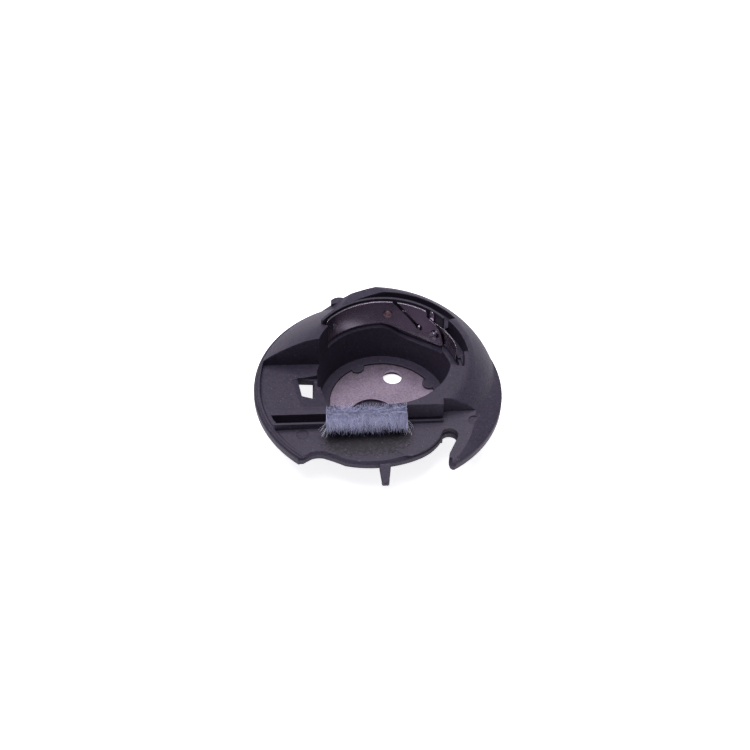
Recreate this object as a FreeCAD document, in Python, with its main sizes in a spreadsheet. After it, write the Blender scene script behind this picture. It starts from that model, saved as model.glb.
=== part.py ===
import FreeCAD, Part
import math
import os
import Sketcher

# Bobbin case of a drop-in bobbin hook, in millimetres.
# Origin: bobbin axis, on the flat underside of the cup. X runs along the brush channel,
# +Y points to the tension plate, +Z is up.

os.makedirs("parts", exist_ok=True)
doc = FreeCAD.newDocument("BobbinCase")
V = FreeCAD.Vector
Z_AXIS = V(0, 0, 1)

# ---------------------------------------------------------------- driving dimensions
sheet = doc.addObject("Spreadsheet::Sheet", "Dimensions")
SIZES = {}


def size(name, value, note):
    """Store one named dimension in the next row of the spreadsheet."""
    row = len(SIZES) + 1
    sheet.set("A%d" % row, name)
    sheet.set("B%d" % row, str(value))
    sheet.set("C%d" % row, note)
    sheet.setAlias("B%d" % row, name)
    SIZES[name] = float(value)
    return SIZES[name]


# bobbin pocket and cup
pocket_radius = size("pocket_radius", 10.9, "wall of the bobbin pocket")
cup_wall = size("cup_wall", 1.3, "cup wall thickness below the flange")
floor_ring_top = size("floor_ring_top", 1.8, "top of the ring around the base plate")
base_seat_radius = size("base_seat_radius", 9.25, "recess that takes the base plate")
base_seat_level = size("base_seat_level", 1.0, "underside of the base plate")
upper_radius = size("upper_radius", 11.6, "back wall of the pocket, below the plate")
upper_level = size("upper_level", 8.2, "ledge below the tension plate")
zero = size("zero", 0, "bobbin axis")
# flange
flange_radius = size("flange_radius", 20.85, "race rim that turns in the hook")
flange_x = size("flange_x", -1.37, "flange centre, along the channel")
flange_y = size("flange_y", -2.85, "flange centre, across the channel")
flange_bottom = size("flange_bottom", 6.9, "underside of the flange")
deck_top = size("deck_top", 8.05, "top of the flat deck")
rim_top = size("rim_top", 8.7, "top of the raised rim")
rim_width = size("rim_width", 1.2, "width of the raised rim")
rim_setback = size("rim_setback", 0.25, "step from the race rim to the wall above it")
# dome
crown_x = size("crown_x", -1.8, "axis of the back and right dome")
crown_y = size("crown_y", 0.9, "axis of the back and right dome")
dome_top = size("dome_top", 14.0, "top of the thin wall behind the plate")
front_cut = size("front_cut", -9.95, "plane that cuts the dome at the right front")
recess_back = size("recess_back", 3.65, "back wall of the left recess")
# tension plate, spring leaf and the wall around them
plate_radius = size("plate_radius", 12.15, "inner face of the tension plate")
plate_gauge = size("plate_gauge", 0.3, "sheet thickness of the tension plate")
leaf_gauge = size("leaf_gauge", 0.22, "sheet thickness of the spring leaf")
leaf_gap = size("leaf_gap", 0.04, "clearance between the two sheets")
slot_radius = size("slot_radius", 12.75, "outer wall of the plate slot")
thin_wall_radius = size("thin_wall_radius", 13.15, "back of the thin wall")
groove_radius = size("groove_radius", 15.7, "outer wall of the back groove")
groove_floor = size("groove_floor", 8.9, "floor of the back groove")
plate_bottom = size("plate_bottom", 8.3, "lower edge of the plate, left part")
plate_top = size("plate_top", 13.75, "upper edge of the plate")
leaf_top = size("leaf_top", 11.85, "upper edge of the leaf's right end")
# channel, brush and front deck
channel_back = size("channel_back", -8.3, "back wall of the left channel")
wall_face = size("wall_face", -11.2, "flat outer face of the front pocket wall")
bar_back = size("bar_back", -11.65, "back of the thin front bar")
bar_gauge = size("bar_gauge", 0.4, "thickness of the thin front bar")
bar_top = size("bar_top", 9.75, "top of the thin front bar")
brush_left = size("brush_left", -10.6, "left end of the brush")
brush_right = size("brush_right", 2.5, "right end of the brush")
brush_top = size("brush_top", 13.95, "top of the brush")
backing_top = size("backing_top", 11.4, "top of the tape that holds the bristles")
# base plate
base_gauge = size("base_gauge", 0.5, "sheet thickness of the base plate")
base_plate_radius = size("base_plate_radius", 9.2, "edge of the base plate")
base_hole_radius = size("base_hole_radius", 1.65, "round hole in the base plate")
base_hole_x = size("base_hole_x", 2.0, "round hole centre")
base_hole_y = size("base_hole_y", 6.05, "round hole centre")
base_centre_radius = size("base_centre_radius", 4.0, "central opening in the base plate")
base_centre_x = size("base_centre_x", -2.1, "central opening's centre")
base_centre_y = size("base_centre_y", -3.1, "central opening's centre")
# fasteners: angle about the bobbin axis, in degrees, and height
screw_angle = size("screw_angle", 42, "place of the tension screw")
screw_level = size("screw_level", 9.5, "height of the tension screw")
rivet_angle = size("rivet_angle", 84, "place of the plate rivet")
rivet_level = size("rivet_level", 11.0, "height of the plate rivet")
pin_angle = size("pin_angle", 131.5, "place of the locating pin")
pin_level = size("pin_level", 11.2, "height of the locating pin")
eye_angle = size("eye_angle", 57, "place of the eye that ends the thread slit")
eye_level = size("eye_level", 9.4, "height of the eye")
doc.recompute()

FLANGE = ("flange_x", "flange_y")
CENTRE = ("0", "0")
ABOVE = 20.0     # height that clears every part, for cutting tools


# ---------------------------------------------------------------- building helpers
def bind(obj, prop, formula):
    """Bind a property to a formula whose names are spreadsheet aliases."""
    words = sorted(SIZES, key=len, reverse=True)
    out, i = "", 0
    while i < len(formula):
        word = next((w for w in words if formula.startswith(w, i)), None)
        if word:
            out += "Dimensions." + word
            i += len(word)
        else:
            out += formula[i]
            i += 1
    obj.setExpression(prop, out)


def drum(name, radius, bottom, top, centre=CENTRE):
    """Upright cylinder between two levels."""
    obj = doc.addObject("Part::Cylinder", name)
    bind(obj, "Radius", radius)
    bind(obj, "Height", "(%s) - (%s)" % (top, bottom))
    bind(obj, "Placement.Base.x", centre[0])
    bind(obj, "Placement.Base.y", centre[1])
    bind(obj, "Placement.Base.z", bottom)
    return obj


def block(name, x0, x1, y0, y1, z0, z1):
    """Box between two corners, each side a formula."""
    obj = doc.addObject("Part::Box", name)
    for prop, low, high in (("Length", x0, x1), ("Width", y0, y1), ("Height", z0, z1)):
        bind(obj, prop, "(%s) - (%s)" % (high, low))
    for prop, low in (("x", x0), ("y", y0), ("z", z0)):
        bind(obj, "Placement.Base." + prop, low)
    return obj


def join(name, parts):
    """Fuse several shapes."""
    obj = doc.addObject("Part::MultiFuse", name)
    obj.Shapes = parts
    obj.Refine = True
    return obj


def cut(name, base, tool):
    """Take a tool away from a base shape."""
    obj = doc.addObject("Part::Cut", name)
    obj.Base, obj.Tool = base, tool
    obj.Refine = True
    return obj


def overlap(name, parts):
    """Keep what is common to several shapes."""
    obj = doc.addObject("Part::MultiCommon", name)
    obj.Shapes = parts
    return obj


def sketch(name, edges, placement=None):
    """Closed outline from points, with an arc wherever a middle point is given."""
    obj = doc.addObject("Sketcher::SketchObject", name)
    for edge in edges:
        if len(edge) == 2:
            obj.addGeometry(Part.LineSegment(V(*edge[0], 0), V(*edge[1], 0)))
        else:
            obj.addGeometry(Part.Arc(*(V(*p, 0) for p in edge)))
    if placement:
        obj.Placement = placement
    return obj


def outline(points):
    """Edges of a closed polygon; a point written ("arc", x, y) is the middle of an arc."""
    edges, i, n = [], 0, len(points)
    while i < n:
        here, after = points[i], points[(i + 1) % n]
        if after[0] == "arc":
            edges.append((here, after[1:], points[(i + 2) % n]))
            i += 2
        else:
            edges.append((here, after))
            i += 1
    return edges


def prism(name, points, bottom, top):
    """Upright solid on a plan outline, between two levels."""
    plan = sketch(name + "_plan", outline(points))
    bind(plan, "Placement.Base.z", bottom)
    obj = doc.addObject("Part::Extrusion", name)
    obj.Base = plan
    obj.DirMode = "Custom"
    obj.Dir = Z_AXIS
    bind(obj, "LengthFwd", "(%s) - (%s)" % (top, bottom))
    obj.Solid = True
    return obj


def turned(name, points, centre):
    """Solid of revolution about an upright axis, from (radius, level) points."""
    upright = FreeCAD.Placement(V(0, 0, 0), FreeCAD.Rotation(V(1, 0, 0), 90))
    profile = sketch(name + "_profile", outline(points), upright)
    bind(profile, "Placement.Base.x", centre[0])
    bind(profile, "Placement.Base.y", centre[1])
    obj = doc.addObject("Part::Revolution", name)
    obj.Source = profile
    obj.Axis = Z_AXIS
    obj.Base = V(SIZES[centre[0]], SIZES[centre[1]], 0)
    obj.Angle = 360
    obj.Solid = True
    return obj


def polar(radius, degrees):
    """Plan point at a radius and angle about the bobbin axis."""
    turn = math.radians(degrees)
    return radius * math.cos(turn), radius * math.sin(turn)


def sector(name, inner, outer, first, last, bottom, top):
    """Ring segment about the bobbin axis, between two angles in degrees."""
    half = 0.5 * (first + last)
    points = [polar(inner, first), polar(outer, first), ("arc",) + polar(outer, half),
              polar(outer, last), polar(inner, last), ("arc",) + polar(inner, half)]
    return prism(name, points, bottom, top)


def wall_placement(degrees, radius, level, roll=0.0):
    """Placement whose local Z points away from the bobbin axis, through the back wall."""
    turn = FreeCAD.Rotation(Z_AXIS, degrees) * FreeCAD.Rotation(V(0, 1, 0), 90)
    spin = turn * FreeCAD.Rotation(Z_AXIS, roll)
    x, y = polar(radius, degrees)
    return FreeCAD.Placement(V(x, y, level), spin)


def stud(name, radius, start, end, degrees, level):
    """Cylinder that points away from the bobbin axis, between two distances from it."""
    obj = doc.addObject("Part::Cylinder", name)
    bind(obj, "Radius", str(radius))
    obj.Height = end - start
    obj.Placement = wall_placement(degrees, start, SIZES[level])
    bind(obj, "Placement.Base.z", level)
    return obj


def curved_sheet(name, inner, gauge, points, holes):
    """Sheet bent about the bobbin axis, cut to an outline of (x, level) points.

    The outline is drawn on the upright plane through the axis and carried along +Y through
    the ring. Each hole is a solid that is taken away.
    """
    ring = cut(name + "_ring", drum(name + "_outside", "%s + %s" % (inner, gauge), "5", "16"),
               drum(name + "_inside", inner, "4", "17"))
    upright = FreeCAD.Placement(V(0, 0, 0), FreeCAD.Rotation(V(1, 0, 0), 90))
    shape = doc.addObject("Part::Extrusion", name + "_blank")
    shape.Base = sketch(name + "_outline", outline(points), upright)
    shape.DirMode = "Custom"
    shape.Dir = V(0, 1, 0)
    shape.LengthFwd = ABOVE
    shape.Solid = True
    bent = overlap(name + "_bent", [ring, shape])
    return cut(name, bent, join(name + "_holes", holes))


# ---------------------------------------------------------------- case body
# deck, rim and cup
deck = drum("deck", "flange_radius", "flange_bottom", "deck_top", FLANGE)
rim_edge = flange_radius - rim_setback
rim_in = flange_radius - rim_width
rim_ring = turned("rim_ring", [
    (rim_in - 1, flange_bottom + 0.2), (rim_edge, flange_bottom + 0.2), (rim_edge, rim_top - 0.32),
    (rim_edge - 0.1, rim_top - 0.22), (rim_edge - 0.26, rim_top - 0.22), (rim_edge - 0.36, rim_top),
    (rim_in + 0.25, rim_top), (rim_in, rim_top - 0.3), (rim_in, deck_top - 0.1),
    (rim_in - 1, deck_top - 0.1)], ("flange_x", "flange_y"))
rim_side = block("rim_side", "-25", "0", "-25", "recess_back", "0", str(ABOVE))
rim = overlap("rim", [rim_ring, rim_side])
cup = drum("cup", "pocket_radius + cup_wall", "0", "deck_top")

# dome: a left cone about the flange axis and a fuller crown about its own axis
left_full = turned("left_full", [
    (0, flange_bottom), (flange_radius, flange_bottom), (flange_radius, 7.5), (20.1, 8.8),
    ("arc", 17.5, 10.85), (14.4, 12.8), ("arc", 12.6, 13.55), (10.5, 13.9), (0, 13.9)],
    ("flange_x", "flange_y"))
left_side = block("left_side", "-30", "-1", "recess_back - 0.5", "30", "0", str(ABOVE))
left_cone = overlap("left_cone", [left_full, left_side])
crown_full = turned("crown_full", [
    (0, flange_bottom), (21.9, flange_bottom), (20.6, 8.0), ("arc", 19.2, 9.95),
    (17.1, 11.95), ("arc", 16.2, 12.55), (15.2, 12.8), (0, 12.8)],
    ("crown_x", "crown_y"))

# the crown falls away to the left behind a sloping plane
crown_side = doc.addObject("Part::Box", "crown_side")
crown_side.Length = crown_side.Width = 80
crown_side.Height = 30
crown_tilt = FreeCAD.Rotation(Z_AXIS, V(-0.6, 0.35, 1.0))
crown_side.Placement = FreeCAD.Placement(
    V(-6, 17.5, 10.15) + crown_tilt.multVec(V(-40, -40, -30)), crown_tilt)
crown_ease = doc.addObject("Part::Box", "crown_ease")
crown_ease.Length = crown_ease.Width = 80
crown_ease.Height = 30
ease_tilt = FreeCAD.Rotation(Z_AXIS, V(-0.3, 0.15, 1.0))
crown_ease.Placement = FreeCAD.Placement(
    V(1.2, 17.5, 12.7) + ease_tilt.multVec(V(-40, -40, -30)), ease_tilt)
crown = overlap("crown", [crown_full, crown_side, crown_ease])

# shallow skirt that carries the dome down to the flange at the right front
skirt = turned("skirt", [
    (0, flange_bottom), (rim_edge, flange_bottom), (rim_edge, deck_top + 0.05), (17.16, 9.7),
    (15.8, 10.3), (0, 10.3)], ("flange_x", "flange_y"))
dome_whole = join("dome_whole", [left_cone, crown, skirt])
dome_limit = drum("dome_limit", "flange_radius - rim_setback", "flange_bottom", str(ABOVE),
                  FLANGE)

# plan of the ground that the dome stands on
dome_plan = prism("dome_plan", [
    (-25, recess_back), (-4, recess_back), (-1.5, wall_face), (8.7, wall_face),
    (8.7, front_cut), (25, front_cut), (25, 22), (-25, 22)], "flange_bottom", str(ABOVE))
dome = overlap("dome", [dome_whole, dome_limit, dome_plan])

# front deck that rises from the front edge to the channel and to the right
front_ramp = doc.addObject("Part::Loft", "front_ramp")
ramp_back = sketch("ramp_back", outline([(-21, 7.0), (19.5, 7.0), (19.5, 9.9), (-21, 8.35)]),
                   FreeCAD.Placement(V(0, front_cut, 0), FreeCAD.Rotation(V(1, 0, 0), 90)))
ramp_front = sketch("ramp_front", outline([(-21, 7.0), (19.5, 7.0), (19.5, 8.12), (-21, 8.0)]),
                    FreeCAD.Placement(V(0, -21.5, 0), FreeCAD.Rotation(V(1, 0, 0), 90)))
front_ramp.Sections = [ramp_back, ramp_front]
front_ramp.Solid = True
front_ramp.Ruled = True
ramp = overlap("ramp", [front_ramp, skirt])

# trough that hangs under the flange below the channel, and the floor under the left recess
trough_box = block("trough_box", "-20.2", "8.7", "bar_back - 1.2", "channel_back + 0.8", "5.0",
                   "deck_top")
trough_limit = drum("trough_limit", "flange_radius - 0.9", "0", "deck_top", FLANGE)
trough = overlap("trough", [trough_box, trough_limit])
recess_pan = block("recess_pan", "-16.6", "-9.5", "-6.3", "recess_back + 0.8", "5.4", "deck_top")
bar = block("bar", "-19.2", "8.7", "bar_back - bar_gauge", "bar_back", "flange_bottom", "bar_top")

# boss under the flange that closes the slot where the plate reaches lowest
plate_boss = sector("plate_boss", 12.0, 13.7, 22, 96, "5.4", "deck_top")

# thin wall behind the tension plate
thin_wall = sector("thin_wall", slot_radius - 0.05, thin_wall_radius, 33, 143,
                   "groove_floor - 0.5", "dome_top")

# small nub on the back left, finger at the front
nub = prism("nub", [(-8.3, 16.0), (-5.6, 16.6), (-5.9, 17.4), ("arc", -7.5, 17.55), (-8.3, 16.9)],
            "deck_top", "9.9")
finger_side = sketch("finger_side", outline([
    (17.0, 6.95), (19.4, 6.9), (22.0, 5.5), ("arc", 22.35, 5.75), (22.25, 6.3), (19.6, 7.8),
    (17.0, 8.0)]), FreeCAD.Placement(
        V(-0.45, 0, 0), FreeCAD.Rotation(V(0, -1, 0), V(0, 0, 1), V(-1, 0, 0))))
finger_slab = doc.addObject("Part::Extrusion", "finger_slab")
finger_slab.Base = finger_side
finger_slab.DirMode = "Normal"
finger_slab.LengthFwd = 2.0
finger_slab.Solid = True
finger_plan = prism("finger_plan", [
    (-2.4, -17), (-2.3, -19.9), (-2.05, -21.6), ("arc", -1.4, -22.35), (-0.8, -21.6),
    (-0.5, -19.9), (-0.4, -17)], "0", str(ABOVE))
finger = overlap("finger", [finger_slab, finger_plan])

body_solid = join("body_solid", [
    deck, rim, cup, dome, ramp, trough, recess_pan, bar, plate_boss, thin_wall, nub])

# bobbin pocket and floor
pocket = drum("pocket", "pocket_radius", "floor_ring_top", str(ABOVE))
base_seat = drum("base_seat", "base_seat_radius", "base_seat_level", "floor_ring_top + 1")
hole_passage = drum("hole_passage", "base_hole_radius + 0.5", "-1", "base_seat_level + 0.5",
                    ("base_hole_x", "base_hole_y"))
pocket_back = turned("pocket_back", [
    (0, floor_ring_top), (pocket_radius, floor_ring_top), (upper_radius, upper_level),
    (upper_radius, ABOVE), (0, ABOVE)], ("zero", "zero"))
pocket_back_half = overlap("pocket_back_half", [pocket_back, sector(
    "pocket_back_sector", 0.5, 14.0, -8, 184, "0", str(ABOVE))])

# slot for the tension plate, back groove and the wider end of the slot at the right
plate_slot = sector("plate_slot", pocket_radius - 1, slot_radius, -12, 143.5,
                    "upper_level", str(ABOVE))
plate_dip_ring = sector("plate_dip_ring", pocket_radius - 1, slot_radius, 25, 92, "6", "9")
plate_dip_side = doc.addObject("Part::Extrusion", "plate_dip_side")
plate_dip_side.Base = sketch("plate_dip_outline", outline([
    (0.2, upper_level + 0.5), (0.2, upper_level), ("arc", 1.5, 7.8), (2.5, 7.25),
    ("arc", 3.8, 6.6), (5.6, 6.3), (7.1, 6.3), ("arc", 8.8, 6.8), (10.3, 7.7),
    (10.3, upper_level + 0.5)]),
    FreeCAD.Placement(V(0, 0, 0), FreeCAD.Rotation(V(1, 0, 0), 90)))
plate_dip_side.DirMode = "Custom"
plate_dip_side.Dir = V(0, 1, 0)
plate_dip_side.LengthFwd = ABOVE
plate_dip_side.Solid = True
plate_dip = overlap("plate_dip", [plate_dip_ring, plate_dip_side])
groove_full = sector("groove_full", thin_wall_radius, groove_radius, 36, 112, "groove_floor",
                     str(ABOVE))
screw_boss = sector("screw_boss", thin_wall_radius - 0.2, groove_radius, 35, 51, "8",
                    "screw_level + 1.5")
groove = cut("groove", groove_full, screw_boss)
groove_end = sector("groove_end", slot_radius - 0.2, 14.0, 3, 36.5, "groove_floor + 0.8",
                    str(ABOVE))
slot_end = sector("slot_end", slot_radius - 0.2, 13.2, -12, 10, "groove_floor + 0.4", str(ABOVE))

# left recess: a level floor, a deeper sloping part beside the pocket, and the hole through it
recess = prism("recess", [(-19.9, -7.0), (-9.0, -7.0), (-9.0, recess_back), (-20.4, recess_back),
                          ("arc", -21.0, -1.0)], "7.55", str(ABOVE))
slope_side = sketch("slope_side", outline([(-17.0, 7.6), (-9.0, 5.95), (-9.0, 12), (-17.0, 12)]))
slope_side.Placement = FreeCAD.Placement(
    V(0.6, recess_back, 0), FreeCAD.Rotation(Z_AXIS, 12) * FreeCAD.Rotation(V(1, 0, 0), 90))
recess_slope = doc.addObject("Part::Extrusion", "recess_slope")
recess_slope.Base = slope_side
recess_slope.DirMode = "Normal"
recess_slope.LengthFwd = 9.6
recess_slope.Solid = True
slope_limit = block("slope_limit", "-18.5", "-8", "-6.1", "recess_back", "5", "12")
recess_low = overlap("recess_low", [recess_slope, slope_limit])
recess_hole = prism("recess_hole", [
    (-14.8, 0.65), (-12.0, 0.45), (-12.0, -3.9), (-14.2, -3.5)], "5.2", "12")
hole_relief = block("hole_relief", "-15.6", "-12.2", "-4.6", "1.4", "5.2", "5.8")

# channel: wide at the left, a narrow slot for the brush backing in front of the pocket wall
channel_wide = prism("channel_wide", [(-19.5, channel_back), (-9.0, channel_back),
                                      (-9.0, bar_back), (-18.3, bar_back)], "5.8", str(ABOVE))
channel_narrow = block("channel_narrow", "-12", "8.3", "bar_back", "wall_face", "7.2", str(ABOVE))

# everything in front of the deck's edge, with the two notches
front_outline = [
    (-17.0, -20.0), ("arc", -15.6, -18.35), (-14.6, -18.2), ("arc", -14.0, -17.8),
    (-13.2, -17.3), ("arc", -12.3, -17.1), (-11.2, -17.2), ("arc", -9.6, -17.95),
    (-7.8, -18.95), ("arc", -2.2, -19.55), (4.4, -17.9),
    ("arc", 6.6, -16.4), (8.2, -14.4), ("arc", 10.1, -13.4), (10.9, -14.9), (9.5, -17.6),
    ("arc", 9.05, -18.8), (9.1, -19.8), ("arc", 9.4, -20.35), (10.0, -20.4), ("arc", 11.2, -20.9),
    (12.5, -26.0), (-22.0, -26.0)]
front_gap = prism("front_gap", front_outline, "0", str(ABOVE))
front_chamfer = doc.addObject("Part::Extrusion", "front_chamfer")
front_chamfer.Base = sketch("front_chamfer_plan", outline(front_outline))
bind(front_chamfer.Base, "Placement.Base.z", "deck_top - 0.28")
front_chamfer.DirMode = "Custom"
front_chamfer.Dir = Z_AXIS
front_chamfer.LengthFwd = 0.6
front_chamfer.TaperAngle = 40
front_chamfer.Solid = True

# ejector marks on the front deck
marks = [drum("mark_%d" % n, str(radius), str(level), str(ABOVE), (str(x), str(y)))
         for n, (x, y, radius, level) in enumerate(((-14.5, -13.1, 0.95, 8.33),
                                                    (13.8, -11.9, 0.9, 9.3)))]
# seats for the fasteners
insert_seat = stud("insert_seat", 0.96, 12.5, 14.6, screw_angle, "screw_level")
insert_exit = stud("insert_exit", 0.55, 12.5, 15.3, screw_angle, "screw_level")
rivet_bore = stud("rivet_bore", 0.37, 12.5, 13.5, rivet_angle, "rivet_level")
pin_bore = stud("pin_bore", 0.37, 12.5, 14.1, pin_angle, "pin_level")
eye_bore = stud("eye_bore", 0.3, 12.5, 13.6, eye_angle, "eye_level")

body_space = join("body_space", [
    pocket, base_seat, hole_passage, pocket_back_half, plate_slot, plate_dip, groove, groove_end,
    slot_end, insert_seat, insert_exit, rivet_bore, pin_bore, eye_bore, recess, recess_low,
    recess_hole, hole_relief, channel_wide, channel_narrow, front_gap, front_chamfer] + marks)
body_cut = cut("body_cut", body_solid, body_space)

# three heat stakes spread over the edge of the base plate
stakes = [prism("stake_%d" % n,
                [polar(9.9, at - 6.5), polar(8.8, at - 7.5), ("arc",) + polar(8.0, at),
                 polar(8.8, at + 7.5), polar(9.9, at + 6.5)],
                "base_seat_level + base_gauge + 0.03", "floor_ring_top + 0.05")
          for n, at in enumerate((116, 26, 256))]
case_body = join("case_body", [body_cut, finger] + stakes)

# ---------------------------------------------------------------- base plate
base_disc = drum("base_disc", "base_plate_radius", "base_seat_level",
                 "base_seat_level + base_gauge")
base_hole = drum("base_hole", "base_hole_radius", "0", "3", ("base_hole_x", "base_hole_y"))
base_centre = drum("base_centre", "base_centre_radius", "0", "3",
                   ("base_centre_x", "base_centre_y"))
base_plate = cut("base_plate", base_disc, join("base_openings", [base_hole, base_centre]))

# ---------------------------------------------------------------- tension plate and leaf
eye_x = polar(plate_radius, eye_angle)[0]
slit = doc.addObject("Part::Extrusion", "slit")
slit.Base = sketch("slit_outline", outline([
    (2.0, plate_top + 0.5), (2.0, plate_top), (eye_x - 0.38, eye_level - 0.2),
    (eye_x + 0.3, eye_level + 0.3), (2.8, plate_top), (2.8, plate_top + 0.5)]),
    FreeCAD.Placement(V(0, 0, 0), FreeCAD.Rotation(V(1, 0, 0), 90)))
slit.DirMode = "Custom"
slit.Dir = V(0, 1, 0)
slit.LengthFwd = ABOVE
slit.Solid = True
tension_plate = curved_sheet("tension_plate", "plate_radius", "plate_gauge", [
    (-9.6, plate_bottom + 0.3), ("arc", -9.5, plate_bottom + 0.05), (-9.2, plate_bottom),
    (0.6, plate_bottom), ("arc", 1.8, 8.1), (2.7, 7.5), ("arc", 3.9, 6.85), (5.6, 6.55),
    (7.0, 6.55), ("arc", 8.6, 7.0), (9.9, 7.85), ("arc", 10.3, 8.6), (10.2, 9.9),
    ("arc", 9.6, 11.4), (8.4, 12.2), ("arc", 7.9, 12.5), (7.7, 13.0),
    (7.7, plate_top - 0.2), ("arc", 7.6, plate_top - 0.05), (7.4, plate_top),
    (-9.3, plate_top), ("arc", -9.5, plate_top - 0.1), (-9.6, plate_top - 0.4)], [
    stud("plate_screw_hole", 0.5, 11, 14, screw_angle, "screw_level"),
    stud("plate_rivet_hole", 0.38, 11, 14, rivet_angle, "rivet_level"),
    stud("plate_pin_hole", 0.38, 11, 14, pin_angle, "pin_level"),
    stud("plate_eye", 0.62, 11, 14, eye_angle, "eye_level"), slit])
spring_leaf = curved_sheet("spring_leaf", "plate_radius + plate_gauge + leaf_gap", "leaf_gauge", [
    (3.2, 8.5), (11.9, 8.5), ("arc", 12.2, 8.6), (12.25, 8.9), (12.25, leaf_top - 0.3),
    ("arc", 12.2, leaf_top - 0.1), (12.0, leaf_top), (8.9, leaf_top), (8.9, 13.6),
    ("arc", 8.55, 13.9), (8.2, 13.6), (8.2, leaf_top), (3.2, leaf_top)], [
    stud("leaf_screw_hole", 0.5, 11, 14, screw_angle, "screw_level"),
    stud("leaf_eye", 0.6, 11, 14, eye_angle, "eye_level")])

# ---------------------------------------------------------------- fasteners on the back wall
screw_head = stud("screw_head", 0.8, 11.75, 12.1, screw_angle, "screw_level")
screw_shank = stud("screw_shank", 0.42, 12.0, 14.4, screw_angle, "screw_level")
driver_slot = doc.addObject("Part::Box", "driver_slot")
driver_slot.Length, driver_slot.Width, driver_slot.Height = 2.0, 0.26, 0.4
driver_turn = wall_placement(screw_angle, 11.57, screw_level, 40)
driver_slot.Placement = FreeCAD.Placement(
    driver_turn.Base + driver_turn.Rotation.multVec(V(-1.0, -0.13, 0)), driver_turn.Rotation)
tension_screw = cut("tension_screw", join("screw_blank", [screw_head, screw_shank]), driver_slot)
insert_barrel = stud("insert_barrel", 0.95, 12.85, 14.55, screw_angle, "screw_level")
insert_bore = stud("insert_bore", 0.44, 12, 15, screw_angle, "screw_level")
screw_insert = cut("screw_insert", insert_barrel, insert_bore)
plate_rivet = join("plate_rivet", [
    stud("rivet_head", 0.72, 11.93, 12.1, rivet_angle, "rivet_level"),
    stud("rivet_shank", 0.35, 12.0, 13.3, rivet_angle, "rivet_level"),
    stud("rivet_tail", 0.6, 13.2, 13.4, rivet_angle, "rivet_level")])
locating_pin = join("locating_pin", [
    stud("pin_head", 0.55, 11.98, 12.1, pin_angle, "pin_level"),
    stud("pin_shank", 0.35, 12.0, 14.0, pin_angle, "pin_level")])
eye_ball = doc.addObject("Part::Sphere", "eye_ball")
eye_ball.Radius = 0.42
eye_ball.Placement = wall_placement(eye_angle, 12.2, eye_level)
eye_pin = join("eye_pin", [eye_ball, stud("eye_shank", 0.28, 12.2, 13.5, eye_angle, "eye_level")])

# ---------------------------------------------------------------- brush
brush_backing = block("brush_backing", "brush_left", "brush_right", "bar_back + 0.05",
                      "wall_face - 0.05", "7.25", "backing_top")
pile_side = sketch("pile_side", outline([
    (bar_back, bar_top + 0.1), (bar_back, backing_top + 0.05),
    (wall_face - 0.05, backing_top + 0.05), (wall_face - 0.05, brush_top - 0.95),
    ("arc", wall_face + 0.3, brush_top - 0.5), (wall_face - 0.3, brush_top - 0.1),
    ("arc", bar_back - 0.4, brush_top), (bar_back - 1.2, brush_top - 0.6),
    ("arc", bar_back - 2.4, bar_top + 1.6), (bar_back - 2.9, bar_top - 0.85),
    (bar_back - 0.9, bar_top - 0.75), (bar_back - bar_gauge - 0.1, bar_top - 0.2),
    (bar_back - bar_gauge - 0.1, bar_top + 0.1)]), FreeCAD.Placement(
        V(brush_left, 0, 0), FreeCAD.Rotation(V(0, 1, 0), V(0, 0, 1), V(1, 0, 0))))
brush_pile = doc.addObject("Part::Extrusion", "brush_pile")
brush_pile.Base = pile_side
brush_pile.DirMode = "Normal"
bind(brush_pile, "LengthFwd", "brush_right - brush_left")
brush_pile.Solid = True

# ---------------------------------------------------------------- checks and export
NODES = (case_body, base_plate, tension_plate, spring_leaf, tension_screw, screw_insert,
         plate_rivet, locating_pin, eye_pin, brush_backing, brush_pile)
doc.recompute()
for obj in doc.Objects:
    if any(word in obj.State for word in ("Invalid", "Error")):
        raise RuntimeError("%s: %s" % (obj.Name, obj.State))
for node in NODES:
    node.Label = node.Name
    shape = node.Shape
    if shape.isNull() or not shape.isValid() or len(shape.Solids) != 1:
        raise RuntimeError("%s: bad shape, %d solids" % (node.Name, len(shape.Solids)))
    shape.exportStep("parts/%s.step" % node.Name)
    print("%-14s %9.3f mm3" % (node.Name, shape.Volume))
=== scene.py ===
"""Looks of the bobbin case: finishes, bristle strip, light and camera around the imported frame."""

import logging
import math
import random
from dataclasses import dataclass, field
from enum import Enum
from typing import Any, Iterable, Optional

import bmesh
import bpy
from mathutils import Matrix, Vector

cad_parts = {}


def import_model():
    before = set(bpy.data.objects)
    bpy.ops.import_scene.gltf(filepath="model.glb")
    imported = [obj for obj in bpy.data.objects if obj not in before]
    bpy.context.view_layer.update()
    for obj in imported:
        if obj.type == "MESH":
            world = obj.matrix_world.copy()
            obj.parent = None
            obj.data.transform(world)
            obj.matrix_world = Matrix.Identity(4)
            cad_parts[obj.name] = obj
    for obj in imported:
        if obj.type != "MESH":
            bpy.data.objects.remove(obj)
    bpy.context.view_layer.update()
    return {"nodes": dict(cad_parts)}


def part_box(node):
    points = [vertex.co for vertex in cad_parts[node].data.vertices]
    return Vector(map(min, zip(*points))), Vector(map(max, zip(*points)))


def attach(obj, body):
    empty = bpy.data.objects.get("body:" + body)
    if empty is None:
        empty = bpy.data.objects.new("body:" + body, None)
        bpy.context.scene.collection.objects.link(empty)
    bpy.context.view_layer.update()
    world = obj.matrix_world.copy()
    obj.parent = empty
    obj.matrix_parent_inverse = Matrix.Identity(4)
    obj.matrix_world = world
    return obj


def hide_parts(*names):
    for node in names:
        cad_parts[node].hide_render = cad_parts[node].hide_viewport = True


LOG = logging.getLogger("bobbin_case")
MM = 0.001
Colour = tuple[float, float, float]


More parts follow.
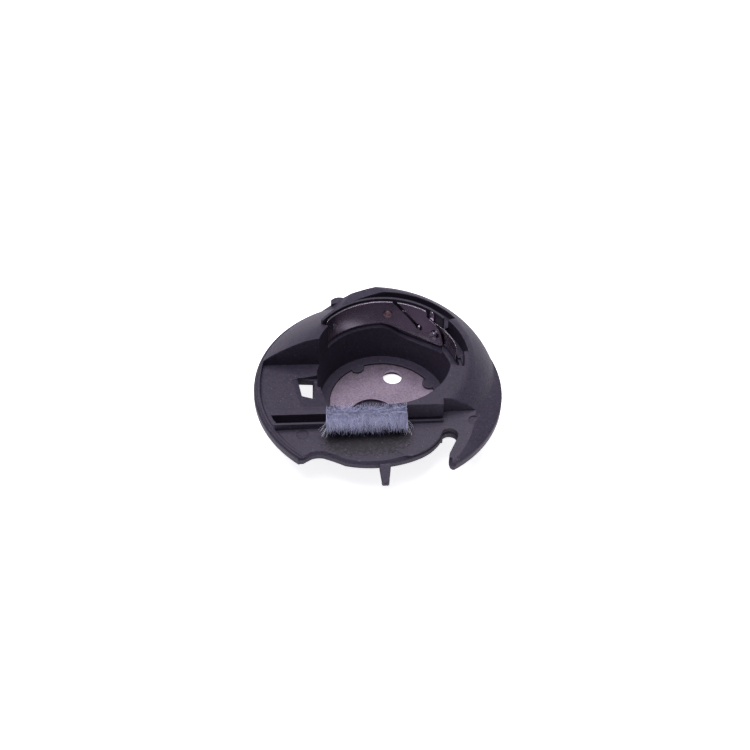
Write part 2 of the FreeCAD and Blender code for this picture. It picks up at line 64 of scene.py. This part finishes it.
# ---------------------------------------------------------------- shader building
class Value:
    """Numeric socket that takes part in Python expressions."""

    def __init__(self, shader: "Shader", socket: bpy.types.NodeSocket) -> None:
        """Keep the socket and the shader that it belongs to."""
        self.shader = shader
        self.socket = socket

    def _math(self, operation: str, *terms: Any) -> "Value":
        """Add a Math node.

        Args:
            operation: the Math node's operation.
            terms: its inputs, numbers or values, in order.
        Returns:
            The result as a value.
        """
        node = self.shader.node("ShaderNodeMath", {"operation": operation},
                                dict(enumerate(terms)))
        return Value(self.shader, node.outputs[0])

    def __add__(self, other: Any) -> "Value":
        """Sum."""
        return self._math("ADD", self, other)

    def __sub__(self, other: Any) -> "Value":
        """Difference."""
        return self._math("SUBTRACT", self, other)

    def __rsub__(self, other: Any) -> "Value":
        """Difference with a number on the left."""
        return self._math("SUBTRACT", other, self)

    def __mul__(self, other: Any) -> "Value":
        """Product."""
        return self._math("MULTIPLY", self, other)

    def __truediv__(self, other: Any) -> "Value":
        """Quotient."""
        return self._math("DIVIDE", self, other)

    def __pow__(self, other: Any) -> "Value":
        """Power."""
        return self._math("POWER", self, other)

    __radd__ = __add__

    def sine(self) -> "Value":
        """Sine of an angle in radians."""
        return self._math("SINE", self)

    def bearing(self, across: "Value") -> "Value":
        """Angle of a point in plan, in radians, with this value as its x.

        Args:
            across: the point's y.
        Returns:
            The angle from the x axis.
        """
        return self._math("ARCTAN2", across, self)

    def above(self, edge: float, soft: float) -> "Value":
        """Smooth step from 0 to 1 around an edge.

        Args:
            edge: the value where the step is half way.
            soft: the width over which it rises.
        Returns:
            The step as a value from 0 to 1.
        """
        node = self.shader.node(
            "ShaderNodeMapRange", {"interpolation_type": "SMOOTHSTEP"},
            {"Value": self, "From Min": edge - soft / 2, "From Max": edge + soft / 2})
        return Value(self.shader, node.outputs["Result"])


class Shader:
    """Node tree of one material, with a Principled shader at its end."""

    def __init__(self, name: str) -> None:
        """Make the material and clear it down to its shader and output."""
        self.material = bpy.data.materials.new(name)
        self.material.use_nodes = True
        self.tree = self.material.node_tree
        self.tree.nodes.clear()
        self.surface = self.node("ShaderNodeBsdfPrincipled")
        self.node("ShaderNodeOutputMaterial", inputs={"Surface": self.surface.outputs["BSDF"]})
        self.place = self.node("ShaderNodeTexCoord").outputs["Object"]

    def node(self, kind: str, settings: Optional[dict[str, Any]] = None,
             inputs: Optional[dict[Any, Any]] = None) -> bpy.types.Node:
        """Add any node.

        Args:
            kind: the node's type name.
            settings: properties that are set before the sockets, "stops" for a ramp's stops.
            inputs: numbers, colours, sockets or values, by socket name or index.
        Returns:
            The new node.
        """
        node = self.tree.nodes.new(kind)
        for name, value in (settings or {}).items():
            if name == "stops":
                self._ramp(node, value)
            else:
                setattr(node, name, value)
        for name, value in (inputs or {}).items():
            if isinstance(value, Value):
                value = value.socket
            if isinstance(value, bpy.types.NodeSocket):
                self.tree.links.new(value, node.inputs[name])
            else:
                node.inputs[name].default_value = value
        return node

    @staticmethod
    def _ramp(node: bpy.types.Node, stops: Iterable[tuple[float, Colour]]) -> None:
        """Set a colour ramp's stops.

        Args:
            node: the ramp's node.
            stops: position and colour of each stop.
        """
        ramp = node.color_ramp
        stops = list(stops)
        while len(ramp.elements) < len(stops):
            ramp.elements.new(0.5)
        for element, (position, colour) in zip(ramp.elements, stops):
            element.position = position
            element.color = (*colour, 1.0)

    def value(self, socket: bpy.types.NodeSocket) -> Value:
        """Wrap a numeric socket for use in expressions.

        Args:
            socket: any output that carries a number.
        Returns:
            The socket as a value.
        """
        return Value(self, socket)

    def noise(self, scale: float, detail: float = 2.0, stretch: Optional[Colour] = None,
              roughness: float = 0.5, place: Any = None) -> Value:
        """Noise pattern on the object's coordinates.

        Args:
            scale: pattern repeats per metre.
            detail: octaves of finer noise.
            stretch: scale along each axis, for a pattern with a grain.
            roughness: strength of the finer noise.
            place: coordinates to use in place of the object's own.
        Returns:
            The noise as a value from 0 to 1.
        """
        place = place or self.place
        if stretch:
            place = self.node("ShaderNodeMapping", inputs={
                "Vector": place, "Scale": stretch}).outputs["Vector"]
        node = self.node("ShaderNodeTexNoise", inputs={
            "Vector": place, "Scale": scale, "Detail": detail, "Roughness": roughness})
        return self.value(node.outputs["Fac"])

    def blend(self, factor: Value, first: Any, second: Any) -> bpy.types.NodeSocket:
        """Mix two colours.

        Args:
            factor: 0 gives the first, 1 gives the second.
            first: a colour or a colour socket.
            second: a colour or a colour socket.
        Returns:
            The mixed colour's socket.
        """
        colours = [(*c, 1.0) if isinstance(c, tuple) else c for c in (first, second)]
        node = self.node("ShaderNodeMix", {"data_type": "RGBA"},
                         {0: factor, 6: colours[0], 7: colours[1]})
        return node.outputs[2]

    def around(self, centre: tuple[float, float]) -> tuple[Value, Value, Value]:
        """Cylindrical coordinates about an upright axis.

        Args:
            centre: x and y of the axis, in metres.
        Returns:
            Radius in metres, angle in radians and height in metres.
        """
        parts = self.node("ShaderNodeSeparateXYZ", inputs={0: self.place})
        x = self.value(parts.outputs["X"]) - centre[0]
        y = self.value(parts.outputs["Y"]) - centre[1]
        return (x * x + y * y) ** 0.5, x.bearing(y), self.value(parts.outputs["Z"])

    def nearby(self, centre: tuple[float, float], reach: tuple[float, float],
               floor: float) -> Value:
        """Mask that fades from 1 at a point of the plan to 0 on an ellipse around it.

        Args:
            centre: x and y of the point, in metres.
            reach: half width and half depth of the ellipse, in metres.
            floor: height below which the mask is 0, in metres.
        Returns:
            The mask as a value from 0 to 1.
        """
        parts = self.node("ShaderNodeSeparateXYZ", inputs={0: self.place})
        x = (self.value(parts.outputs["X"]) - centre[0]) / reach[0]
        y = (self.value(parts.outputs["Y"]) - centre[1]) / reach[1]
        raised = self.value(parts.outputs["Z"]).above(floor, 0.05 * MM)
        return (1.0 - (x ** 4 + y * y).above(0.5, 1.0)) * raised

    def finish_surface(self, colour: Any, roughness: Any, metallic: float, heights: Value,
                       depth: float, edge: float = 0.0, **uniform: Any) -> None:
        """Drive the Principled shader.

        Args:
            colour: base colour or its socket.
            roughness: number or value.
            metallic: 0 or 1.
            heights: pattern that the bump reads.
            depth: height of the bump, in metres.
            edge: radius of the softened edges, in metres.
            uniform: values for other sockets, by name with underscores for spaces.
        """
        bump: dict[str, Any] = {"Height": heights, "Distance": depth, "Strength": 1.0}
        if edge:
            bevel = self.node("ShaderNodeBevel", {"samples": 8}, {"Radius": edge})
            bump["Normal"] = bevel.outputs["Normal"]
        normal = self.node("ShaderNodeBump", inputs=bump).outputs["Normal"]
        inputs = {"Base Color": colour, "Roughness": roughness, "Metallic": metallic,
                  "Normal": normal}
        inputs.update({name.replace("_", " "): value for name, value in uniform.items()})
        for name, value in inputs.items():
            if isinstance(value, Value):
                value = value.socket
            if isinstance(value, bpy.types.NodeSocket):
                self.tree.links.new(value, self.surface.inputs[name])
            else:
                self.surface.inputs[name].default_value = (
                    (*value, 1.0) if isinstance(value, tuple) else value)


# ---------------------------------------------------------------- finishes
@dataclass(frozen=True)
class MouldedPlastic:
    """Satin moulded plastic with a fine grain, pale lint, and a dark patch on the deck in front of
    the bristles that is partly fibre litter and partly painted shadow of the bristle strip.
    """

    name: str = "satin_plastic"
    low: Colour = (0.0135, 0.0110, 0.0200)
    high: Colour = (0.0390, 0.0320, 0.0555)
    roughness: float = 0.48
    specular: float = 0.32
    grain_depth: float = 0.075 * MM
    edge: float = 0.14 * MM
    lint_colour: Colour = (0.16, 0.15, 0.18)
    litter_and_shadow_colour: Colour = (0.002, 0.0015, 0.003)
    litter_and_shadow_at: tuple[float, float] = (-4.0 * MM, -14.6 * MM)
    litter_and_shadow_reach: tuple[float, float] = (8.8 * MM, 4.6 * MM)
    litter_and_shadow_floor: float = 7.9 * MM

    def material(self) -> bpy.types.Material:
        """Build the material."""
        shader = Shader(self.name)
        cloud = shader.noise(210, 4, roughness=0.6)
        speck = shader.noise(2300, 4, roughness=0.8)
        grain = shader.noise(2000, 4, roughness=0.8)
        flow = shader.noise(900, 3, (0.25, 1.0, 1.0))
        colour = shader.blend(cloud * 0.35 + (speck - 0.5) * 2.7 + 0.33, self.low, self.high)
        # Dark patch on the deck in front of the bristles: partly dark fibre litter, partly painted
        # shadow of the bristle strip.
        litter_and_shadow_mask = shader.nearby(self.litter_and_shadow_at, self.litter_and_shadow_reach, self.litter_and_shadow_floor) * 0.72
        litter_and_shadow_mask = litter_and_shadow_mask + (speck - 0.5) * 3.2
        colour = shader.blend(litter_and_shadow_mask.above(0.46, 0.3), colour, self.litter_and_shadow_colour)
        lint = shader.noise(2600, 1).above(0.735, 0.03)
        colour = shader.blend(lint * 0.35, colour, self.lint_colour)
        roughness = self.roughness + (cloud - 0.5) * 0.16 + (speck - 0.5) * 0.30
        shader.finish_surface(colour, roughness, 0.0, grain * 0.8 + flow * 0.2,
                              self.grain_depth, self.edge, Specular_IOR_Level=self.specular)
        return shader.material


@dataclass(frozen=True)
class BlastedSteel:
    """Sheet steel with a fine blasted grain."""

    name: str = "blasted_steel"
    low: Colour = (0.135, 0.108, 0.142)
    high: Colour = (0.35, 0.30, 0.36)
    stain_colour: Colour = (0.24, 0.19, 0.20)
    roughness: float = 0.42
    grain_depth: float = 0.012 * MM
    edge: float = 0.06 * MM

    def material(self) -> bpy.types.Material:
        """Build the material."""
        shader = Shader(self.name)
        speck = shader.noise(3800, 3, roughness=0.75)
        cloud = shader.noise(260, 3)
        mottled = (speck - 0.5) * 1.7 + (cloud - 0.5) * 0.7 + 0.5
        stain = shader.noise(520, 2).above(0.64, 0.16)
        colour = shader.blend(mottled, self.low, self.high)
        colour = shader.blend(stain * 0.35, colour, self.stain_colour)
        roughness = self.roughness + (speck - 0.5) * 0.25
        shader.finish_surface(colour, roughness, 1.0, speck, self.grain_depth, self.edge)
        return shader.material


@dataclass(frozen=True)
class PolishedStrip:
    """Spring steel strip with fine lines along its length, about the bobbin axis."""

    name: str
    dark: Colour = (0.13, 0.112, 0.145)
    bright: Colour = (0.36, 0.325, 0.385)
    roughness: float = 0.20
    spot_colour: Colour = (0.16, 0.14, 0.17)
    lines_per_mm: float = 14.0
    line_depth: float = 0.0016 * MM
    edge: float = 0.11 * MM

    def material(self) -> bpy.types.Material:
        """Build the material."""
        shader = Shader(self.name)
        radius, angle, level = shader.around((0.0, 0.0))
        strip = shader.node("ShaderNodeCombineXYZ", inputs={
            0: angle * 0.9, 1: level * (self.lines_per_mm / MM), 2: radius * 400})
        lines = shader.noise(1.0, 3, roughness=0.65, place=strip.outputs[0])
        cloud = shader.noise(330, 3)
        spots = shader.noise(1900, 2).above(0.70, 0.06)
        colour = shader.blend(lines * 0.5 + cloud * 0.5, self.dark, self.bright)
        colour = shader.blend(spots * 0.4, colour, self.spot_colour)
        roughness = self.roughness + (cloud - 0.5) * 0.14 + spots * 0.15
        shader.finish_surface(colour, roughness, 1.0, lines, self.line_depth, self.edge)
        return shader.material


@dataclass(frozen=True)
class TurnedMetal:
    """Small turned or headed fastener, with rings about its own axis and a little tarnish."""

    name: str
    dark: Colour
    bright: Colour
    roughness: float
    centre: tuple[float, float, float]
    turn: float
    rings_per_mm: float = 16.0
    ring_depth: float = 0.004 * MM
    edge: float = 0.05 * MM

    def material(self) -> bpy.types.Material:
        """Build the material."""
        shader = Shader(self.name)
        local = shader.node("ShaderNodeMapping", {"vector_type": "TEXTURE"}, {
            "Vector": shader.place, "Location": self.centre, "Rotation": (0, 0, self.turn)})
        parts = shader.node("ShaderNodeSeparateXYZ", inputs={0: local.outputs["Vector"]})
        y, z = (shader.value(parts.outputs[axis]) for axis in "YZ")
        rings = shader.node("ShaderNodeTexNoise", {"noise_dimensions": "1D"}, {
            "W": (y * y + z * z) ** 0.5, "Scale": self.rings_per_mm / MM, "Detail": 2.0})
        tarnish = shader.noise(1700, 3, roughness=0.65)
        colour = shader.blend(tarnish.above(0.5, 0.35), self.bright, self.dark)
        roughness = self.roughness + (tarnish - 0.5) * 0.25
        shader.finish_surface(colour, roughness, 1.0, shader.value(rings.outputs[0]),
                              self.ring_depth, self.edge)
        return shader.material


@dataclass(frozen=True)
class WovenTape:
    """Stiff woven tape that holds the bristles."""

    name: str = "woven_tape"
    dark: Colour = (0.030, 0.030, 0.042)
    light: Colour = (0.12, 0.12, 0.17)
    threads_per_mm: float = 5.0
    roughness: float = 0.85
    weave_depth: float = 0.02 * MM

    def material(self) -> bpy.types.Material:
        """Build the material."""
        shader = Shader(self.name)
        parts = shader.node("ShaderNodeSeparateXYZ", inputs={0: shader.place})
        pitch = 2 * math.pi * self.threads_per_mm / MM
        warp, weft = ((shader.value(parts.outputs[axis]) * pitch).sine() for axis in "XZ")
        weave = warp * weft * 0.5 + 0.5
        colour = shader.blend(weave * 0.7 + shader.noise(1500, 2) * 0.3, self.dark, self.light)
        shader.finish_surface(colour, self.roughness, 0.0, weave, self.weave_depth)
        return shader.material


@dataclass(frozen=True)
class BristleFibre:
    """Blue-grey bristle, its tone set strand by strand in the mesh's own attribute."""

    name: str = "bristle_fibre"
    dark: Colour = (0.17, 0.17, 0.27)
    middle: Colour = (0.46, 0.49, 0.74)
    light: Colour = (0.88, 0.91, 1.0)
    roughness: float = 0.55
    sheen: float = 0.3
    streak_depth: float = 0.004 * MM
    attribute: str = "tone"

    def material(self) -> bpy.types.Material:
        """Build the material."""
        shader = Shader(self.name)
        tone = shader.node("ShaderNodeAttribute", {"attribute_name": self.attribute})
        ramp = shader.node("ShaderNodeValToRGB", {
            "stops": [(0.0, self.dark), (0.45, self.middle), (1.0, self.light)]},
            {"Fac": tone.outputs["Fac"]})
        streak = shader.noise(5000, 2, (1.0, 0.15, 0.15))
        colour = shader.blend(streak * 0.4, ramp.outputs["Color"], self.dark)
        roughness = self.roughness + (streak - 0.5) * 0.2
        shader.finish_surface(colour, roughness, 0.0, streak, self.streak_depth,
                              Sheen_Weight=self.sheen)
        return shader.material


@dataclass(frozen=True)
class StudioPaper:
    """Plain pale paper under the object, dimmer where a glossy surface mirrors it."""

    name: str = "studio_paper"
    tint: Colour = (0.93, 0.93, 0.94)
    roughness: float = 0.85
    glow: float = 0.85
    glow_in_mirrors: float = 0.085
    fibre_depth: float = 0.01 * MM

    def material(self) -> bpy.types.Material:
        """Build the material."""
        shader = Shader(self.name)
        fibre = shader.noise(900, 3)
        mirrored = shader.value(shader.node("ShaderNodeLightPath").outputs["Is Glossy Ray"])
        glow = mirrored * (self.glow_in_mirrors - self.glow) + self.glow
        shader.finish_surface(self.tint, self.roughness + (fibre - 0.5) * 0.1, 0.0, fibre,
                              self.fibre_depth, Emission_Color=self.tint,
                              Emission_Strength=glow)
        return shader.material


# ---------------------------------------------------------------- sub-assemblies
class Body(Enum):
    """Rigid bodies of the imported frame."""

    CASE = "case"
    SCREW = "screw"


def dress(node: bpy.types.Object, material: bpy.types.Material) -> None:
    """Give every material slot of a carried-over node the same finish.

    Args:
        node: the CAD node.
        material: its finish.
    """
    for index in range(len(node.material_slots)):
        node.material_slots[index].material = material


def to_object(shape: bmesh.types.BMesh, name: str, material: bpy.types.Material,
              body: Body) -> bpy.types.Object:
    """Turn a bmesh into a finished piece that rides on a body.

    Args:
        shape: the mesh, freed afterwards.
        name: the piece's name.
        material: its finish.
        body: the body that carries it.
    Returns:
        The new object.
    """
    mesh = bpy.data.meshes.new(name)
    shape.to_mesh(mesh)
    shape.free()
    mesh.materials.append(material)
    piece = bpy.data.objects.new(name, mesh)
    bpy.context.scene.collection.objects.link(piece)
    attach(piece, body.value)
    LOG.info("%s: %d faces", name, len(mesh.polygons))
    return piece


@dataclass
class CaseShell:
    """Moulded body and the round steel plate in its floor."""

    plastic: MouldedPlastic = field(default_factory=MouldedPlastic)
    steel: BlastedSteel = field(default_factory=BlastedSteel)

    def build(self, nodes: dict[str, bpy.types.Object]) -> None:
        """Dress the body and the base plate.

        Args:
            nodes: the frame's nodes, by name.
        """
        dress(nodes["case_body"], self.plastic.material())
        dress(nodes["base_plate"], self.steel.material())
        LOG.info("case_body, base_plate: dressed")


@dataclass
class TensionUnit:
    """Tension plate, spring leaf, and the fasteners on the back wall."""

    plate: PolishedStrip = field(default_factory=lambda: PolishedStrip("polished_plate"))
    leaf: PolishedStrip = field(default_factory=lambda: PolishedStrip(
        "polished_leaf", (0.22, 0.195, 0.235), (0.48, 0.44, 0.50), 0.22))

    @staticmethod
    def fastener(node: str, name: str, dark: Colour, bright: Colour,
                 roughness: float) -> TurnedMetal:
        """Finish for a fastener that points away from the bobbin axis.

        Args:
            node: the CAD node that it dresses.
            name: the finish's name.
            dark: tarnished colour.
            bright: clean colour.
            roughness: middle roughness.
        Returns:
            The finish, centred on the fastener's own axis.
        """
        low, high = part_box(node)
        middle = (low + high) / 2
        return TurnedMetal(name, dark, bright, roughness, tuple(middle),
                           math.atan2(middle.y, middle.x))

    def build(self, nodes: dict[str, bpy.types.Object]) -> None:
        """Dress the plate, the leaf and the fasteners.

        Args:
            nodes: the frame's nodes, by name.
        """
        dress(nodes["tension_plate"], self.plate.material())
        dress(nodes["spring_leaf"], self.leaf.material())
        plated = ((0.15, 0.14, 0.17), (0.46, 0.44, 0.50), 0.28)
        finishes = {
            "tension_screw": self.fastener("tension_screw", "plated_screw", *plated),
            "locating_pin": self.fastener("locating_pin", "plated_pin", *plated),
            "eye_pin": self.fastener("eye_pin", "plated_eye", *plated),
            "plate_rivet": self.fastener("plate_rivet", "dull_copper", (0.30, 0.20, 0.20),
                                         (0.62, 0.47, 0.47), 0.36),
            "screw_insert": self.fastener("screw_insert", "turned_brass", (0.34, 0.25, 0.12),
                                          (0.80, 0.62, 0.30), 0.30),
        }
        for node, finish in finishes.items():
            dress(nodes[node], finish.material())
        LOG.info("tension unit: dressed")


@dataclass
class BristleStrip:
    """Strip of bristles that fans out of the slot and leans over the front bar."""

    strands: int = 4300
    stray: int = 34
    thickness: float = 0.062 * MM
    sides: int = 3
    joints: int = 6
    tufts: int = 40
    seed: int = 41
    taper: float = 0.86
    fan_start: float = 82.0
    fan_sweep: float = 128.0
    fibre: BristleFibre = field(default_factory=BristleFibre)
    tape: WovenTape = field(default_factory=WovenTape)

    def strand(self, path: list[Vector], width: float) -> bpy.types.Mesh:
        """Tapered strand along a path.

        Args:
            path: centre points, from root to tip.
            width: thickness at the root.
        Returns:
            The strand's mesh.
        """
        shape = bmesh.new()
        ring = bmesh.ops.create_circle(shape, cap_ends=True, segments=self.sides,
                                       radius=width / 2)["verts"]
        first = (path[1] - path[0]).to_track_quat("Z", "Y").to_matrix()
        bmesh.ops.rotate(shape, verts=ring, cent=(0, 0, 0), matrix=first)
        bmesh.ops.translate(shape, verts=ring, vec=path[0])
        shape.faces.ensure_lookup_table()
        face = shape.faces[0]
        for here, there in zip(path, path[1:]):
            made = bmesh.ops.extrude_face_region(shape, geom=[face])["geom"]
            ring = [v for v in made if isinstance(v, bmesh.types.BMVert)]
            old, face = face, next(f for f in made if isinstance(f, bmesh.types.BMFace))
            bmesh.ops.delete(shape, geom=[old], context="FACES_ONLY")
            bmesh.ops.translate(shape, verts=ring, vec=there - here)
            middle = face.calc_center_median()
            bmesh.ops.scale(shape, verts=ring, vec=[self.taper] * 3,
                            space=Matrix.Translation(-middle))
        bmesh.ops.holes_fill(shape, edges=shape.edges)
        bmesh.ops.recalc_face_normals(shape, faces=shape.faces)
        mesh = bpy.data.meshes.new("strand")
        shape.to_mesh(mesh)
        shape.free()
        return mesh

    def path(self, root: Vector, crest: Vector, tip: Vector) -> list[Vector]:
        """Curve from the root, drawn towards the crest, to the tip.

        Args:
            root: first point.
            crest: point that the curve bends towards.
            tip: last point.
        Returns:
            The points of the curve, one more than the strand's joints.
        """
        points = []
        for step in range(self.joints + 1):
            t = step / self.joints
            points.append((1 - t) ** 2 * root + 2 * t * (1 - t) * crest + t * t * tip)
        return points

    def lay(self, dice: random.Random, low: Vector, high: Vector,
            tufts: list[float]) -> tuple[list[Vector], float]:
        """Path and tone of one bristle of the fan.

        Args:
            dice: seeded random source.
            low: lowest corner of the pile.
            high: highest corner of the pile.
            tufts: sideways lean of each tuft.
        Returns:
            The centre points and a tone from 0 to 1, darker for the strands low in the fan as
            painted shade under the fan.
        """
        along = dice.random()
        tuft = tufts[int(along * self.tufts)]
        fan = dice.random() ** 0.85
        size = high - low
        core = Vector((low.x + along * size.x, high.y - 0.19 * size.y, low.z + 0.50 * size.z))
        swing = math.radians(self.fan_start + self.fan_sweep * fan + dice.gauss(0, 5))
        reach = (0.46 + 0.06 * fan + 0.24 * max(fan - 0.5, 0.0)) * size.z
        reach *= dice.uniform(0.74, 1.02) + 0.05 * tuft
        out = Vector((0.0, math.cos(swing), math.sin(swing)))
        root = core + out * 0.12 * MM + Vector((0, 0, dice.uniform(-0.3, 0.1) * MM))
        sway = Vector(((dice.gauss(0, 0.50) + 0.25 * tuft) * MM, 0, 0))
        crest = root + out * reach * 0.62 + Vector((0, 0, 0.10 * reach)) + sway * 0.3
        tip = root + out * reach + sway
        tip.z -= 0.10 * reach
        path = self.path(root, crest, tip)
        for point in path:
            point.x = min(max(point.x, low.x), high.x)
            point.y = min(max(point.y, low.y), high.y)
            point.z = min(max(point.z, low.z), high.z)
        # Strands low in the fan, which point down and forward, get a darker tone. This is painted
        # shade under the fan, on top of the random tone per strand and per tuft.
        return path, 0.52 + 0.27 * dice.gauss(0, 1) + 0.06 * tuft - 1.6 * max(fan - 0.74, 0.0)

    def loose(self, dice: random.Random, low: Vector, high: Vector) -> tuple[list[Vector], float]:
        """Path and tone of a pale hair that strays from an end of the strip.

        Args:
            dice: seeded random source.
            low: lowest corner of the pile.
            high: highest corner of the pile.
        Returns:
            The centre points and a tone from 0 to 1.
        """
        size = high - low
        side = dice.choice((-1, 1))
        end = high.x if side > 0 else low.x
        root = Vector((end - side * dice.uniform(0.0, 1.2) * MM, high.y - 0.35 * size.y,
                       low.z + dice.uniform(0.10, 0.45) * size.z))
        tip = root + Vector((side * dice.uniform(0.3, 1.7) * MM,
                             -dice.uniform(0.3, 0.75) * size.y, 0))
        tip.z = low.z + dice.uniform(0.01, 0.22) * size.z
        crest = (root + tip) / 2 + Vector((dice.gauss(0, 0.3) * MM, 0, 0.4 * MM))
        return self.path(root, crest, tip), dice.uniform(0.75, 1.0)

    def build(self, nodes: dict[str, bpy.types.Object]) -> None:
        """Dress the tape and grow the bristles in the space of the solid pile.

        Args:
            nodes: the frame's nodes, by name.
        """
        dress(nodes["brush_backing"], self.tape.material())
        low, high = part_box("brush_pile")
        dice = random.Random(self.seed)
        tufts = [dice.uniform(-1, 1) for _ in range(self.tufts)]
        laid = [self.lay(dice, low, high, tufts) for _ in range(self.strands)]
        laid += [self.loose(dice, low, high) for _ in range(self.stray)]
        shape = bmesh.new()
        tone = shape.verts.layers.float.new(self.fibre.attribute)
        for path, shade in laid:
            mesh = self.strand(path, self.thickness * dice.uniform(0.75, 1.25))
            before = len(shape.verts)
            shape.from_mesh(mesh)
            shape.verts.ensure_lookup_table()
            for vert in shape.verts[before:]:
                vert[tone] = min(max(shade, 0.0), 1.0)
            bpy.data.meshes.remove(mesh)
        piece = to_object(shape, "bristles", self.fibre.material(), Body.CASE)
        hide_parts("brush_pile")


# ---------------------------------------------------------------- studio
@dataclass(frozen=True)
class Lamp:
    """Rectangular lamp that faces the object: place and size in metres, power in watts."""

    name: str
    place: tuple[float, float, float]
    size: tuple[float, float]
    power: float


@dataclass
class Studio:
    """Pale floor, soft light and the camera."""

    target: Vector = field(default_factory=lambda: Vector((0.0, -2.0, 8.0)) * MM)
    azimuth: float = -6.1
    elevation: float = 45.9
    roll: float = 2.87
    distance: float = 0.300
    lens: float = 85.46
    aim_shift: tuple[float, float] = (-1.82 * MM, 1.65 * MM)
    floor_half: float = 2.0
    floor_gap: float = 0.02 * MM
    lamps: tuple[Lamp, ...] = (Lamp("overhead", (-0.08, 0.06, 0.78), (0.8, 0.6), 9.0),
                               Lamp("back_strip", (0.25, 0.8, 0.30), (0.8, 0.3), 0.8))
    lamp_colour: Colour = (0.97, 0.90, 1.0)
    sky_colour: Colour = (0.95, 0.96, 1.0)
    sky_strength: float = 0.28

    def axes(self) -> tuple[Vector, Vector, Vector]:
        """Right, up and back directions of the camera."""
        turn, tilt, roll = (math.radians(v) for v in (self.azimuth, self.elevation, self.roll))
        back = Vector((math.sin(turn) * math.cos(tilt), -math.cos(turn) * math.cos(tilt),
                       math.sin(tilt)))
        right = Vector((0, 0, 1)).cross(back).normalized()
        up = back.cross(right)
        return (right * math.cos(roll) + up * math.sin(roll),
                up * math.cos(roll) - right * math.sin(roll), back)

    def add_camera(self) -> None:
        """Place the camera."""
        right, up, back = self.axes()
        data = bpy.data.cameras.new("camera")
        data.lens = self.lens
        data.sensor_width = 36.0
        data.clip_start, data.clip_end = 0.01, 20.0
        camera = bpy.data.objects.new("camera", data)
        aim = self.target + right * self.aim_shift[0] + up * self.aim_shift[1]
        turn = Matrix((right, up, back)).transposed().to_4x4()
        camera.matrix_world = Matrix.Translation(aim + back * self.distance) @ turn
        bpy.context.scene.collection.objects.link(camera)
        bpy.context.scene.camera = camera

    def add_lamp(self, lamp: Lamp) -> None:
        """Place a lamp.

        Args:
            lamp: what to place.
        """
        data = bpy.data.lights.new(lamp.name, "AREA")
        data.shape = "RECTANGLE"
        data.size, data.size_y = lamp.size
        data.energy = lamp.power
        data.color = self.lamp_colour
        place = Vector(lamp.place)
        aim = (self.target - place).to_track_quat("-Z", "Y").to_matrix().to_4x4()
        light = bpy.data.objects.new(lamp.name, data)
        light.matrix_world = Matrix.Translation(place) @ aim
        bpy.context.scene.collection.objects.link(light)

    def add_floor(self) -> None:
        """Lay the floor under the object."""
        shape = bmesh.new()
        bmesh.ops.create_grid(shape, x_segments=1, y_segments=1, size=self.floor_half,
                              matrix=Matrix.Translation((0, 0, -self.floor_gap)))
        mesh = bpy.data.meshes.new("floor")
        shape.to_mesh(mesh)
        shape.free()
        mesh.materials.append(StudioPaper().material())
        floor = bpy.data.objects.new("floor", mesh)
        bpy.context.scene.collection.objects.link(floor)

    def build(self) -> None:
        """Set up the studio."""
        self.add_camera()
        self.add_floor()
        for lamp in self.lamps:
            self.add_lamp(lamp)
        world = bpy.data.worlds.new("studio")
        world.use_nodes = True
        sky = world.node_tree.nodes["Background"]
        sky.inputs["Color"].default_value = (*self.sky_colour, 1.0)
        sky.inputs["Strength"].default_value = self.sky_strength
        bpy.context.scene.world = world
        view = bpy.context.scene.view_settings
        view.view_transform = "Standard"
        view.look = "None"


def main() -> None:
    """Dress the frame, add the new pieces and set up the studio."""
    logging.basicConfig(level=logging.INFO, format="%(name)s: %(message)s")
    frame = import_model()
    Studio().build()
    for assembly in (CaseShell(), TensionUnit(), BristleStrip()):
        assembly.build(frame["nodes"])


if __name__ == "__main__":
    main()
